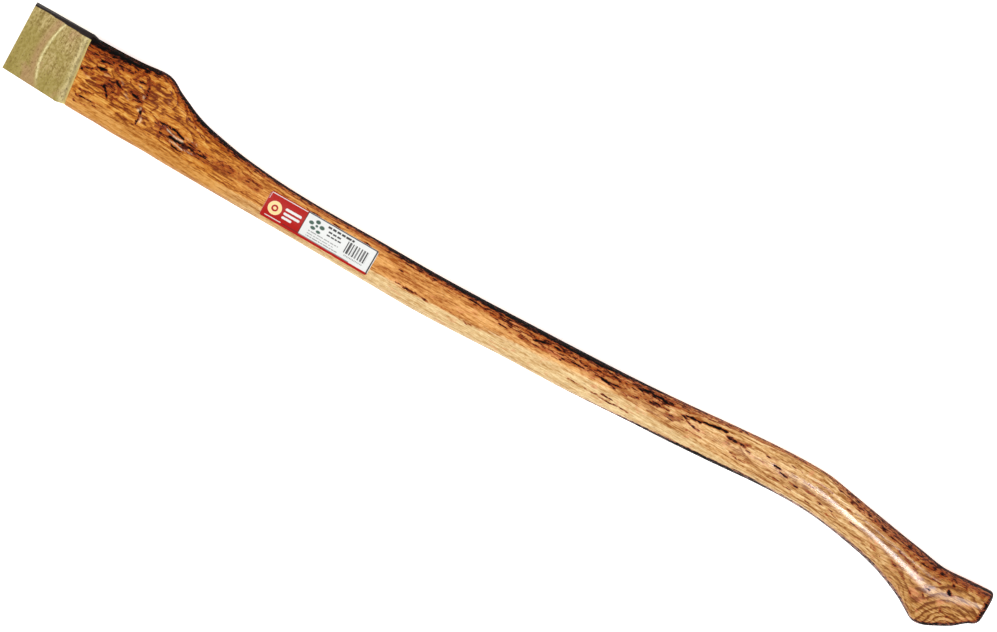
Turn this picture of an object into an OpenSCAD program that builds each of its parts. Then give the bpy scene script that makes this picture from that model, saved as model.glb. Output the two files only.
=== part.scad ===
// Replacement handle for a splitting maul, with its wooden wedge started in the kerf.
// The handle lies on its side: +X runs from the tongue to the knob, +Y is the back
// edge, which carries the shoulder, and Z is the thickness. The origin is the middle
// of the tongue's end.

/* [Handle] */
// Length from the middle of the tongue's end to the knob's end
handle_length = 914.4; // [900:0.1:930]
// Thickness of the shaft at the label
shaft_thickness = 27.4; // [25:0.1:30]
// Thickness of the grip, just before the knob
grip_thickness = 28.4; // [26:0.1:31]
// Thickness of the knob
knob_thickness = 34; // [31:0.1:37]

/* [Tongue] */
// Height of the tongue near its end, the long way of the eye
tongue_height = 66.6; // [62:0.1:68]
// Thickness between the tongue's flat cheeks, the short way of the eye
tongue_thickness = 22.2; // [20:0.1:24]
// Angle by which the tongue's end is off square
end_angle = 6.4; // [0:0.1:8]

/* [Kerf] */
// Width of the saw kerf that takes the wedge
kerf_width = 3.4; // [3.2:0.1:5]
// Depth of the saw kerf
kerf_depth = 60; // [40:1:64]

/* [Wedge] */
// Length of the wedge from butt to tip
wedge_length = 76; // [60:1:80]
// Depth of the wedge's tip in the kerf
wedge_depth = 16; // [6:1:20]
// Thickness of the wedge's butt
wedge_butt = 9.4; // [6:0.1:9.4]
// Thickness of the wedge's tip
wedge_tip = 1.2; // [0.8:0.1:1.2]
// Width of the wedge at its butt
wedge_butt_width = 65; // [55:0.5:70]
// Width of the wedge where it enters the kerf
wedge_width = 69.6; // [60:0.1:72]

/* [Label] */
// Length of the paper label along the shaft
label_length = 107; // [80:1:120]
// Height of the label across the side of the shaft
label_height = 24.2; // [15:0.1:26]
// Thickness of the label
label_thickness = 0.25; // [0.15:0.05:0.4]

/* [Hidden] */

// The outline of the handle at the stations where a maker would check it:
// [x, back edge y, belly edge y, half thickness, cheek limit,
//  squareness of the back half, squareness of the belly half].
// A squareness of 2 is an ellipse, and a larger one is nearer to a rectangle.
half_eye = tongue_height / 2;
cheek = tongue_thickness / 2;
half_shaft = shaft_thickness / 2;
half_grip = grip_thickness / 2;
half_knob = knob_thickness / 2;
free = 30;
end_x = handle_length;
outline = [
    [-8, half_eye - 0.2, -half_eye + 0.2, cheek + 2.8, cheek, 2.5, 2.5],
    [14, half_eye, -half_eye, cheek + 2.8, cheek, 2.5, 2.5],
    [34, half_eye + 0.7, -half_eye - 0.1, cheek + 2.8, cheek, 2.5, 2.5],
    [50, half_eye + 1.9, -half_eye - 0.7, cheek + 2.7, cheek, 2.5, 2.5],
    [60, half_eye + 3.3, -half_eye - 0.8, cheek + 2.6, cheek, 2.4, 2.4],
    [66, half_eye + 3.8, -half_eye - 0.7, cheek + 2.5, cheek + 0.1, 2.4, 2.4],
    [72, half_eye + 3.4, -half_eye - 0.6, cheek + 2.4, cheek + 0.4, 2.4, 2.4],
    [78, half_eye + 1.2, -half_eye - 0.5, cheek + 2.4, cheek + 0.8, 2.4, 2.4],
    [86, 29.5, -33.9, half_shaft - 0.3, cheek + 1.4, 2.3, 2.3],
    [96, 24.7, -34.2, half_shaft - 0.3, cheek + 2.1, 2.3, 2.3],
    [106, 20, -34.4, half_shaft - 0.2, cheek + 3, 2.2, 2.2],
    [120, 15, -34.5, half_shaft - 0.2, free, 2.2, 2.2],
    [137, 11.3, -34.5, half_shaft - 0.1, free, 2.2, 2.2],
    [158, 7.4, -34.5, half_shaft, free, 2.2, 2.2],
    [180, 4.9, -34.5, half_shaft, free, 2.2, 2.2],
    [200, 3.3, -34.4, half_shaft, free, 2.2, 2.2],
    [230, 2.2, -34.4, half_shaft, free, 2.2, 2.2],
    [300, 2.5, -35, half_shaft, free, 2.2, 2.2],
    [360, 2.6, -35.2, half_shaft, free, 2.2, 2.2],
    [400, 3.7, -33.4, half_shaft, free, 2.2, 2.2],
    [440, 5.4, -31.2, half_shaft, free, 2.2, 2.2],
    [500, 8, -29.1, half_shaft + 0.1, free, 2.2, 2.2],
    [563, 11.5, -25, half_grip - 0.2, free, 2.2, 2.2],
    [605, 15, -22.4, half_grip - 0.1, free, 2.2, 2.2],
    [646, 19.2, -19.3, half_grip, free, 2.2, 2.2],
    [688, 22.7, -15.5, half_grip, free, 2.2, 2.2],
    [716, 24, -14.4, half_grip + 0.1, free, 2.2, 2.2],
    [740, 23.5, -15, half_grip + 0.2, free, 2.2, 2.2],
    [761, 19.8, -17.3, half_grip + 0.5, free, 2.2, 2.2],
    [782, 16.1, -20.8, half_knob - 2, free, 2.2, 2.2],
    [802, 12.6, -24.7, half_knob - 1.4, free, 2.2, 2.3],
    [823, 9.1, -31.4, half_knob - 0.8, free, 2.2, 2.4],
    [844, 5.8, -40.6, half_knob - 0.2, free, 2.2, 2.6],
    [854, 3.9, -46.6, half_knob, free, 2.3, 2.8],
    [861, 3, -50.5, half_knob, free, 2.3, 3],
    [866, 2.7, -51.4, half_knob, free, 2.3, 3],
    [872, 2.8, -50.3, half_knob, free, 2.4, 3],
    [885, 3.8, -43.9, half_knob - 0.2, free, 2.5, 3],
    [896, 4.5, -37, half_knob - 0.5, free, 2.6, 3],
    [906, 5.1, -28.3, half_knob - 0.8, free, 2.6, 3],
    [end_x, 5.4, -24.4, half_knob - 1, free, 2.6, 3],
];

// How the sweep is cut into rings.
ring_points = 44;
ring_step = 10;
end_round = 5;
end_rings = 5;

// Cubic curve through column c of the outline.
function rise(c, i) = (outline[i + 1][c] - outline[i][c]) / (outline[i + 1][0] - outline[i][0]);
function span(i) = outline[i + 1][0] - outline[i][0];
function lean(c, i) =
    i == 0 ? rise(c, 0)
    : i == len(outline) - 1 ? rise(c, i - 1)
    : (rise(c, i - 1) * span(i) + rise(c, i) * span(i - 1)) / (span(i - 1) + span(i));
function bay(x) = max([for (i = [0:len(outline) - 2]) if (outline[i][0] <= x) i]);
function faired(c, x) =
    let (i = bay(x), h = span(i), u = (x - outline[i][0]) / h)
    (1 + 2 * u) * (1 - u) * (1 - u) * outline[i][c]
    + u * (1 - u) * (1 - u) * h * lean(c, i)
    + u * u * (3 - 2 * u) * outline[i + 1][c]
    - u * u * (1 - u) * h * lean(c, i + 1);

// The knob's end is rounded over by drawing its last rings in.
function drawn_in(x) =
    let (d = max(0, x - (end_x - end_round)))
    end_round - sqrt(max(0, end_round * end_round - d * d));

function back_y(x) = faired(1, x) - drawn_in(x);
function belly_y(x) = faired(2, x) + drawn_in(x);
function middle_y(x) = (back_y(x) + belly_y(x)) / 2;
function half_height(x) = (back_y(x) - belly_y(x)) / 2;
function half_thick(x) = faired(3, x) - drawn_in(x);
function squareness(x, side) = side > 0 ? faired(5, x) : faired(6, x);
function bent(v, n) = sign(v) * pow(abs(v), 2 / n);

function ring(x) =
    let (m = middle_y(x), a = half_height(x), b = half_thick(x), flat = faired(4, x))
    let (up = squareness(x, 1), down = squareness(x, -1))
    [for (k = [0:ring_points - 1])
        let (t = 360 * k / ring_points, n = cos(t) >= 0 ? up : down)
        [x, m + a * bent(cos(t), n), max(-flat, min(flat, b * bent(sin(t), n)))]];

body_stations = [for (i = [0:len(outline) - 2])
    let (a = outline[i][0], b = min(outline[i + 1][0], end_x - end_round))
    let (n = ceil((b - a) / ring_step))
    for (k = [0:n - 1]) a + k * (b - a) / n];
end_stations = [for (k = [0:end_rings]) end_x - end_round + end_round * sin(90 * k / end_rings)];
stations = concat(body_stations, end_stations);

// A closed skin over equal rings of points, with a flat cap at both ends.
module skin(rings) {
    n = len(rings[0]);
    last = len(rings) - 1;
    points = [for (r = rings) each r];
    sides = [for (i = [0:last - 1]) for (k = [0:n - 1])
        let (a = i * n + k, b = i * n + (k + 1) % n)
        each [[a, b + n, b], [a, a + n, b + n]]];
    first_cap = [for (k = [0:n - 1]) k];
    last_cap = [for (k = [n - 1:-1:0]) last * n + k];
    polyhedron(points = points, faces = concat(sides, [first_cap, last_cap]));
}

module handle() {
    color("peru")
        difference() {
            skin([for (x = stations) ring(x)]);
            tongue_end_cut();
            kerf();
        }
}

// Takes off the tongue beyond its end, which is not quite square.
module tongue_end_cut() {
    cut = 100;
    rotate([0, 0, end_angle])
        translate([-cut, -cut / 2, -cut / 2])
            cube([cut, cut, cut]);
}

// The kerf is open at the tongue's end and at its back and belly edges.
module kerf() {
    reach = 120;
    translate([-reach + kerf_depth, -reach / 2, -kerf_width / 2])
        cube([reach, reach, kerf_width]);
}

// The wedge's leading corners are clipped so that it starts in the kerf, and its butt
// is sawn a little off square.
wedge_lean = -1;
mouth = -4;
clip = 5;
butt_skew = 1.2;
module wedge() {
    butt = wedge_depth - wedge_length;
    color("darkkhaki")
        rotate([0, 0, wedge_lean])
            intersection() {
                translate([0, 0, -wedge_butt])
                    linear_extrude(2 * wedge_butt)
                        polygon([
                            [butt + butt_skew, -wedge_butt_width / 2],
                            [mouth, -wedge_width / 2],
                            [wedge_depth, -wedge_width / 2 + clip],
                            [wedge_depth, wedge_width / 2 - clip],
                            [mouth, wedge_width / 2],
                            [butt - butt_skew, wedge_butt_width / 2],
                        ]);
                translate([0, wedge_width, 0])
                    rotate([90, 0, 0])
                        linear_extrude(2 * wedge_width)
                            polygon([
                                [butt - butt_skew, -wedge_butt / 2],
                                [wedge_depth, -wedge_tip / 2],
                                [wedge_depth, wedge_tip / 2],
                                [butt - butt_skew, wedge_butt / 2],
                            ]);
            }
}

// The label is a thin sheet bent round the side of the shaft.
label_x = 197;
label_top = -2.6;
label_gap = 0.05;
label_bays = 12;
label_points = 14;

// The front surface at height y, raised along its normal.
function side_z(x, y) =
    let (n = squareness(x, y - middle_y(x)), v = abs(y - middle_y(x)) / half_height(x))
    half_thick(x) * pow(1 - pow(v, n), 1 / n);
function side_point(x, y, lift) =
    let (d = 0.5, z = side_z(x, y), fall = (side_z(x, y + d) - side_z(x, y - d)) / (2 * d))
    let (k = lift / sqrt(1 + fall * fall))
    [x, y - fall * k, z + k];
function label_ring(x) =
    let (y = function (k) label_top - label_height * k / label_points)
    concat(
        [for (k = [0:label_points]) side_point(x, y(k), label_gap + label_thickness)],
        [for (k = [label_points:-1:0]) side_point(x, y(k), label_gap)]
    );
module label() {
    color("firebrick")
        skin([for (i = [0:label_bays]) label_ring(label_x + label_length * i / label_bays)]);
}

handle();
wedge();
label();
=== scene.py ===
import math
import random
import bpy
from mathutils import Matrix, Vector, noise


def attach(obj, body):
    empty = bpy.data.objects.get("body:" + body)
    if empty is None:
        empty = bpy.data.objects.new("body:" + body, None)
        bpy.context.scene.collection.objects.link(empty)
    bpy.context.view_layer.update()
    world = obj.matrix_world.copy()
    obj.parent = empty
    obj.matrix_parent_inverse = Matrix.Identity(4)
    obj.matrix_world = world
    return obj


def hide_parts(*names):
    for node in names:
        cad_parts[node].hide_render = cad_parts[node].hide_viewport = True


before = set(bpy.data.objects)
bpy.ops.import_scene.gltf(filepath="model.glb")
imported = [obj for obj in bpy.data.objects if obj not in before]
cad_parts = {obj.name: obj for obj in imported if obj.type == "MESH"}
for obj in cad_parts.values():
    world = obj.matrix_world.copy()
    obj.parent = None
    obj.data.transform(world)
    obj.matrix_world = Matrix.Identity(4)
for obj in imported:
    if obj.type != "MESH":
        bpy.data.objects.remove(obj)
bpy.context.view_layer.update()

scene = bpy.context.scene
mm = 0.001


def lerp(a, b, t):
    return a + (b - a) * t


def clamp(v, low=0.0, high=1.0):
    return max(low, min(high, v))


def smoothStep(low, high, v):
    t = clamp((v - low) / (high - low))
    return t * t * (3 - 2 * t)


def shade(red, green, blue):
    # a screen colour, 0 to 255 each, as the linear colour a material takes
    def line(c):
        c /= 255.0
        return c / 12.92 if c <= 0.04045 else ((c + 0.055) / 1.055) ** 2.4
    return (line(red), line(green), line(blue))


def along(table, x):
    # eased steps between (x, value) pairs, level beyond the ends
    if x <= table[0][0]:
        return table[0][1]
    for (x0, v0), (x1, v1) in zip(table, table[1:]):
        if x <= x1:
            return lerp(v0, v1, smoothStep(x0, x1, x))
    return table[-1][1]


def addPiece(name, vertices, faces, material, body, node):
    mesh = bpy.data.meshes.new(name)
    mesh.from_pydata([tuple(c * mm for c in v) for v in vertices], [], faces)
    mesh.update()
    piece = bpy.data.objects.new(name, mesh)
    scene.collection.objects.link(piece)
    mesh.materials.append(material)
    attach(piece, body)
    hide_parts(node)
    return piece


def smoothBy(piece, degrees):
    mesh = piece.data
    mesh.polygons.foreach_set("use_smooth", [True] * len(mesh.polygons))
    mesh.set_sharp_from_angle(angle=math.radians(degrees))


def paint(piece, name, values):
    # one number per vertex, which the material reads by name
    layer = piece.data.attributes.new(name, "FLOAT", "POINT")
    layer.data.foreach_set("value", values)


bench = {}   # holds the node tree of the material being made


def newNode(kind):
    return bench["tree"].nodes.new(kind)


def plug(socket, value):
    if isinstance(value, bpy.types.NodeSocket):
        bench["tree"].links.new(value, socket)
    else:
        socket.default_value = value


def newMaterial(name):
    material = bpy.data.materials.new(name)
    material.use_nodes = True
    bench["tree"] = material.node_tree
    bench["tree"].nodes.clear()
    output = newNode("ShaderNodeOutputMaterial")
    bench["shader"] = newNode("ShaderNodeBsdfPrincipled")
    plug(output.inputs["Surface"], bench["shader"].outputs["BSDF"])
    return material


def finishWith(settings):
    # numbers go straight onto the shader, anything else is linked to it
    for name, value in settings.items():
        plug(bench["shader"].inputs[name], value)


def calc(operation, *values):
    node = newNode("ShaderNodeMath")
    node.operation = operation
    for socket, value in zip(node.inputs, values):
        plug(socket, value)
    return node.outputs[0]


def add(first, *others):
    for other in others:
        first = calc("ADD", first, other)
    return first


def less(a, b):
    return calc("SUBTRACT", a, b)


def times(a, b):
    return calc("MULTIPLY", a, b)


def centred(value, gain):
    # a noise swings about a half, this makes it swing about nothing
    return times(less(value, 0.5), gain)


def spread(value, fromLow, fromHigh, toLow=0.0, toHigh=1.0, soft=True):
    node = newNode("ShaderNodeMapRange")
    node.interpolation_type = "SMOOTHSTEP" if soft else "LINEAR"
    for socket, number in zip(node.inputs, (value, fromLow, fromHigh, toLow, toHigh)):
        plug(socket, number)
    return node.outputs[0]


def mixColour(amount, first, second):
    node = newNode("ShaderNodeMix")
    node.data_type = "RGBA"
    plug(node.inputs[0], amount)
    for socket, value in ((node.inputs[6], first), (node.inputs[7], second)):
        plug(socket, value if isinstance(value, bpy.types.NodeSocket) else (*value, 1.0))
    return node.outputs[2]


def ramp(value, stops, way="LINEAR"):
    node = newNode("ShaderNodeValToRGB")
    node.color_ramp.interpolation = way
    elements = node.color_ramp.elements
    while len(elements) < len(stops):
        elements.new(0.5)
    for element, (place, colour) in zip(elements, stops):
        element.position = place
        element.color = (*colour, 1.0)
    plug(node.inputs[0], value)
    return node.outputs[0]


def speckle(size, detail=3.0, rough=0.5, bend=0.0, shift=(0.0, 0.0, 0.0)):
    # noise through the wood, in cells of the given size in millimetres
    coords = newNode("ShaderNodeTexCoord")
    place = newNode("ShaderNodeMapping")
    place.inputs["Scale"].default_value = tuple(1 / mm / s for s in size)
    place.inputs["Location"].default_value = shift
    plug(place.inputs["Vector"], coords.outputs["Object"])
    node = newNode("ShaderNodeTexNoise")
    for name, value in (("Vector", place.outputs[0]), ("Scale", 1.0), ("Detail", detail),
                        ("Roughness", rough), ("Distortion", bend)):
        plug(node.inputs[name], value)
    return node.outputs[0]


def painted(name):
    node = newNode("ShaderNodeAttribute")
    node.attribute_name = name
    return node.outputs["Fac"]


def bumpUp(height, distance, strength):
    node = newNode("ShaderNodeBump")
    node.inputs["Distance"].default_value = distance
    node.inputs["Strength"].default_value = strength
    plug(node.inputs["Height"], height)
    return node.outputs[0]


handleShape = {
    "length": 914.4,
    "tongueHeight": 66.6,
    "tongueThickness": 22.2,
    "shaftThickness": 27.4,
    "gripThickness": 28.4,
    "knobThickness": 34.0,
    "endAngle": 6.4,
    "kerfWidth": 3.4,
    "kerfDepth": 60.0,
    "endRound": 5.0,
}
eye = handleShape["tongueHeight"] / 2
cheek = handleShape["tongueThickness"] / 2
shaft = handleShape["shaftThickness"] / 2
grip = handleShape["gripThickness"] / 2
knob = handleShape["knobThickness"] / 2
free = 30     # a cheek limit so far out that nothing is flattened
# x, back edge, belly edge, half thickness, cheek limit, squareness of back and belly
outline = [
    (-8, eye - 0.2, -eye + 0.2, cheek + 2.8, cheek, 2.5, 2.5),
    (14, eye, -eye, cheek + 2.8, cheek, 2.5, 2.5),
    (34, eye + 0.7, -eye - 0.1, cheek + 2.8, cheek, 2.5, 2.5),
    (50, eye + 1.9, -eye - 0.7, cheek + 2.7, cheek, 2.5, 2.5),
    (60, eye + 3.3, -eye - 0.8, cheek + 2.6, cheek, 2.4, 2.4),
    (66, eye + 3.8, -eye - 0.7, cheek + 2.5, cheek + 0.1, 2.4, 2.4),
    (72, eye + 3.4, -eye - 0.6, cheek + 2.4, cheek + 0.4, 2.4, 2.4),
    (78, eye + 1.2, -eye - 0.5, cheek + 2.4, cheek + 0.8, 2.4, 2.4),
    (86, 29.5, -33.9, shaft - 0.3, cheek + 1.4, 2.3, 2.3),
    (96, 24.7, -34.2, shaft - 0.3, cheek + 2.1, 2.3, 2.3),
    (106, 20, -34.4, shaft - 0.2, cheek + 3, 2.2, 2.2),
    (120, 15, -34.5, shaft - 0.2, free, 2.2, 2.2),
    (137, 11.3, -34.5, shaft - 0.1, free, 2.2, 2.2),
    (158, 7.4, -34.5, shaft, free, 2.2, 2.2),
    (180, 4.9, -34.5, shaft, free, 2.2, 2.2),
    (200, 3.3, -34.4, shaft, free, 2.2, 2.2),
    (230, 2.2, -34.4, shaft, free, 2.2, 2.2),
    (300, 2.5, -35, shaft, free, 2.2, 2.2),
    (360, 2.6, -35.2, shaft, free, 2.2, 2.2),
    (400, 3.7, -33.4, shaft, free, 2.2, 2.2),
    (440, 5.4, -31.2, shaft, free, 2.2, 2.2),
    (500, 8, -29.1, shaft + 0.1, free, 2.2, 2.2),
    (563, 11.5, -25, grip - 0.2, free, 2.2, 2.2),
    (605, 15, -22.4, grip - 0.1, free, 2.2, 2.2),
    (646, 19.2, -19.3, grip, free, 2.2, 2.2),
    (688, 22.7, -15.5, grip, free, 2.2, 2.2),
    (716, 24, -14.4, grip + 0.1, free, 2.2, 2.2),
    (740, 23.5, -15, grip + 0.2, free, 2.2, 2.2),
    (761, 19.8, -17.3, grip + 0.5, free, 2.2, 2.2),
    (782, 16.1, -20.8, knob - 2, free, 2.2, 2.2),
    (802, 12.6, -24.7, knob - 1.4, free, 2.2, 2.3),
    (823, 9.1, -31.4, knob - 0.8, free, 2.2, 2.4),
    (844, 5.8, -40.6, knob - 0.2, free, 2.2, 2.6),
    (854, 3.9, -46.6, knob, free, 2.3, 2.8),
    (861, 3, -50.5, knob, free, 2.3, 3),
    (866, 2.7, -51.4, knob, free, 2.3, 3),
    (872, 2.8, -50.3, knob, free, 2.4, 3),
    (885, 3.8, -43.9, knob - 0.2, free, 2.5, 3),
    (896, 4.5, -37, knob - 0.5, free, 2.6, 3),
    (906, 5.1, -28.3, knob - 0.8, free, 2.6, 3),
    (handleShape["length"], 5.4, -24.4, knob - 1, free, 2.6, 3),
]


def faired(c, x):
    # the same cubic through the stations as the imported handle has
    i = max(k for k in range(len(outline) - 1) if outline[k][0] <= x or k == 0)

    def run(k):
        return outline[k + 1][0] - outline[k][0]

    def rise(k):
        return (outline[k + 1][c] - outline[k][c]) / run(k)

    def lean(k):
        if k == 0:
            return rise(0)
        if k == len(outline) - 1:
            return rise(k - 1)
        return (rise(k - 1) * run(k) + rise(k) * run(k - 1)) / (run(k - 1) + run(k))

    h = run(i)
    u = (x - outline[i][0]) / h
    return (
        (1 + 2 * u) * (1 - u) ** 2 * outline[i][c]
        + u * (1 - u) ** 2 * h * lean(i)
        + u * u * (3 - 2 * u) * outline[i + 1][c]
        - u * u * (1 - u) * h * lean(i + 1)
    )


def easedColumn(c):
    # a light sanding of the line between x = 90 and the knob, where facets would show in the lacquer
    start, count = outline[0][0], int(handleShape["length"]) + 9
    raw = [faired(c, min(start + k, handleShape["length"])) for k in range(count + 1)]
    reach = range(-10, 11)
    weights = [math.exp(-0.5 * (k / 4.0) ** 2) for k in reach]
    eased = []
    for k in range(len(raw)):
        total = sum(w * raw[clamp(k + j, 0, len(raw) - 1)] for j, w in zip(reach, weights))
        x = start + k
        share = smoothStep(84, 110, x) * (1 - smoothStep(835, 850, x))
        eased.append(lerp(raw[k], total / sum(weights), share))
    return eased


columns = {c: easedColumn(c) for c in range(1, 7)}


def column(c, x):
    place = clamp(x - outline[0][0], 0, len(columns[c]) - 1.001)
    k = int(place)
    return lerp(columns[c][k], columns[c][k + 1], place - k)


def drawnIn(x):
    r = handleShape["endRound"]
    d = clamp(x - (handleShape["length"] - r), 0, r)
    return r - math.sqrt(max(0.0, r * r - d * d))


def backY(x):
    return column(1, x) - drawnIn(x)


def bellyY(x):
    return column(2, x) + drawnIn(x)


def halfThick(x):
    return column(3, x) - drawnIn(x)


def sectionCurve(x, steps=160):
    # the half section on the label side, from the back edge to the belly edge
    middle = (backY(x) + bellyY(x)) / 2
    height = (backY(x) - bellyY(x)) / 2
    thick, flat = halfThick(x), column(4, x)
    points = []
    for k in range(steps + 1):
        t = math.pi * k / steps
        n = column(5, x) if math.cos(t) >= 0 else column(6, x)
        y = math.copysign(abs(math.cos(t)) ** (2 / n), math.cos(t)) * height + middle
        z = abs(math.sin(t)) ** (2 / n) * thick
        points.append((y, min(z, flat)))
    return points


def evenly(points, lowZ, count):
    # cuts the curve off below lowZ at both ends, then spaces points evenly along it
    kept = [p for p in points if p[1] > lowZ]
    first = points.index(kept[0])
    last = points.index(kept[-1])

    def crossing(outer, inner):
        t = (lowZ - outer[1]) / (inner[1] - outer[1])
        return (lerp(outer[0], inner[0], t), lowZ)

    kept = [crossing(points[first - 1], kept[0])] + kept + [crossing(points[last + 1], kept[-1])]
    lengths = [0.0]
    for a, b in zip(kept, kept[1:]):
        lengths.append(lengths[-1] + math.hypot(b[0] - a[0], b[1] - a[1]))
    result, j = [], 0
    for k in range(count):
        target = lengths[-1] * k / (count - 1)
        while j < len(lengths) - 2 and lengths[j + 1] < target:
            j += 1
        t = (target - lengths[j]) / max(1e-9, lengths[j + 1] - lengths[j])
        result.append((lerp(kept[j][0], kept[j + 1][0], t), lerp(kept[j][1], kept[j + 1][1], t)))
    return result


def stationList():
    xs = [0.0, 0.18, 0.6]
    x = 1.4
    while x < handleShape["kerfDepth"] - 0.3:
        xs.append(x)
        x += 1.15
    xs.append(handleShape["kerfDepth"])
    x = handleShape["kerfDepth"] + 1.1
    while x < 140:
        xs.append(x)
        x += 1.1
    while x < 836:
        xs.append(x)
        x += 2.4
    while x < handleShape["length"] - handleShape["endRound"]:
        xs.append(x)
        x += 1.4
    r = handleShape["endRound"]
    xs += [handleShape["length"] - r + r * math.sin(math.radians(a)) for a in range(0, 91, 15)]
    return xs


sidePoints = 70   # points on each side of the handle, between the two kerf lines
wallPoints = 14   # points across each wall of the kerf
print("handle: stations and sections ready")

# Marks on the label side: half width, darkness, depth cut into the wood, then the (x, y) points.
markRows = [
    # the nick across the grain on the cheek
    (0.9, 1.3, 0.55, (64.2, 1.5), (65.2, -5.5), (66.7, -12)),
    # torn grain below the shoulder
    (1.1, 1.25, 0.45, (85.5, -0.4), (91, 1), (99, 0.7), (108, -2.2)),
    (1.3, 1.3, 0.5, (95.5, -6), (104, -7.4), (114, -8.2)),
    (1.2, 1, 0.35, (106, -6.6), (118, -7.8), (132, -6.9)),
    (0.9, 0.8, 0.3, (88, -8.2), (99, -11.6), (113, -13.6)),
    (0.9, 0.9, 0.2, (101, -13.2), (108, -13.8), (112, -13.4)),
    (0.8, 0.7, 0.25, (113, -3.4), (121, -4.4), (127, -4.2)),
    (1, 0.5, 0.1, (80, -0.8), (85, -1.6)),
    (7, 0.4, 0, (84, -2), (98, -5), (112, -7), (134, -7)),
    (5, 0.28, 0, (134, -5), (160, -6), (185, -8)),
    (6, 0.27, 0, (22, 4), (32, 8), (38, 0)),
    (4.5, 0.3, 0, (50, 9), (60, 6)),
    # scorched figure on the cheek
    (1.3, 0.85, 0, (2.5, 6), (8, 10.5), (14, 14), (21, 15.6)),
    (1.5, 0.5, 0, (8, 5), (13, 7)),
    (1.5, 0.9, 0, (25, 2.6), (30, -1), (33, -6)),
    (1.9, 0.85, 0, (27, 9), (34, 11.5), (40.5, 8)),
    (2.4, 0.5, 0, (24, 6), (30, 7.5)),
    (2, 1, 0, (52, 8.4), (56, 8.6), (60.5, 6)),
    (1.5, 0.8, 0, (59.5, 23.5), (62, 17), (62.5, 12)),
    (1.4, 0.75, 0, (41, 25), (46, 29.5), (51, 32)),
    (1.2, 0.6, 0, (44, 20), (50, 23), (56, 22.5)),
    (1.5, 0.65, 0, (16, 21), (24, 24.5), (33, 25)),
    (0.8, 0.55, 0, (6, -10.8), (13, -9.8), (20, -9.2)),
    (0.9, 0.6, 0, (6, -17.5), (16, -16), (29, -14.4)),
    (0.7, 0.45, 0, (4, -22), (12, -21.6), (20, -21.8)),
    (0.7, 0.4, 0, (24, -18), (33, -17.4)),
    # streaks where the scorch leaves the back edge
    (0.8, 0.6, 0, (330, -17.6), (345, -18), (362, -19)),
    (0.6, 0.45, 0, (372, -17), (388, -16.4)),
    (0.8, 0.7, 0, (397, -18), (405, -18.2)),
    (1.3, 0.75, 0, (455, -1), (470, 1.6), (486, 2.8)),
    (1, 0.7, 0, (496, -0.5), (510, 0.6)),
    (1.2, 0.9, 0, (520, 0.4), (531, -0.4), (538, -1.8)),
    (0.9, 0.85, 0, (531, -12), (542, -12.4)),
    (0.8, 0.5, 0, (500, -15.2), (530, -15.4), (560, -14.8)),
    (1.8, 0.95, 0, (556, 8.4), (572, 9.2), (590, 10.2)),
    (1.3, 0.95, 0, (572, 3), (580, 6), (586, 10)),
    (1.1, 1.2, 0.1, (606, 9), (618, 9.8), (634, 13.4), (642, 14)),
    (1, 1, 0.1, (604, 7.4), (613, 4.4), (620, 2.6)),
    (1.3, 0.7, 0, (644, 11.4), (658, 11.8), (668, 9.4)),
    (0.8, 0.7, 0, (676, 8.2), (682, 7.6)),
    (0.7, 0.45, 0, (586, -0.4), (604, -1.4), (626, -1.8)),
    (0.6, 0.4, 0, (655, -0.6), (668, -1.2)),
    # short checks in the grip
    (0.9, 1.1, 0.15, (693.5, 10.6), (700.5, 10.2)),
    (1, 1, 0.15, (699, 7.4), (706, 6.4)),
    (0.8, 0.7, 0, (711, 4.2), (719, 3.4)),
    (0.7, 0.55, 0, (697, 0.2), (702, 0)),
    (0.7, 0.6, 0, (706, -1.6), (715, -2.2)),
    (0.9, 0.9, 0, (808, 11), (820, 9.6), (834, 8.4)),
    (0.6, 0.5, 0, (766, 9.6), (771, 8.2)),
    (1.4, 0.4, 0, (836, -3.6), (846, -8)),
    (1.7, 0.62, 0, (768, 16.4), (784, 13.6), (802, 10.6)),
    (1.5, 0.6, 0, (800, 9.8), (825, 6.6), (852, 3.2)),
    (0.9, 0.5, 0, (826, 2.4), (850, -0.6)),
    (2, 0.55, 0, (852, 0.4), (874, 0.2), (892, 1.4)),
    (0.9, 0.5, 0, (752, -4), (757, -6)),
    (1, 0.45, 0, (796, -6), (806, -9)),
    (1.1, 0.5, 0, (820, -10), (828, -13)),
    (1, 0.45, 0, (832, -16), (840, -18)),
    (0.8, 0.5, 0, (740, 1.5), (747, 0.8)),
    # pin knots in the knob
    (1.1, 0.9, 0.1, (879, -2.4), (879.6, -2.6)),
    (1.7, 1.3, 0.2, (878.4, -9), (880, -9.6)),
    (1, 0.9, 0.1, (861.5, -16), (862, -17)),
    (1.2, 1, 0.1, (860, -22), (860.5, -23.5)),
    (1.2, 0.9, 0.1, (879, -26), (880, -27)),
    (1, 0.8, 0, (885, -29.5), (889, -28)),
    (1, 0.6, 0, (848, -26), (850, -27.5)),
]

# Painted glints, where the lacquer catches the torn grain below the shoulder, and pale bare flecks beside
# the nick and the other marks: half width, paleness, then the points.
glintAndFleckRows = [
    (0.63, 0.75, (92.5, -3), (100, -4), (109, -5.2)),
    (0.63, 0.68, (98.5, -9.6), (105, -10.4), (112, -11.2)),
    (0.42, 0.3, (112, -10.6), (124, -10.2)),
    (0.42, 0.3, (110, -0.6), (121, -1.6)),
    (0.63, 0.52, (62.2, 2), (62.8, -2)),
    (0.7, 0.6, (68, -6), (68.4, -9.5)),
    (0.7, 0.33, (60.6, 13), (61.4, 10.5)),
    (0.63, 0.21, (36, 15.5), (40, 12.5)),
    (0.7, 0.17, (22, 12), (27, 13)),
    (0.84, 0.17, (45, 6), (50, 3)),
    (0.63, 0.17, (52, 19), (57, 17)),
    (0.84, 0.17, (5, 3.5), (12, 2.5)),
    (0.63, 0.17, (420, -13.6), (450, -13)),
    (0.63, 0.14, (560, -3.8), (585, -3.2)),
]
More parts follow.
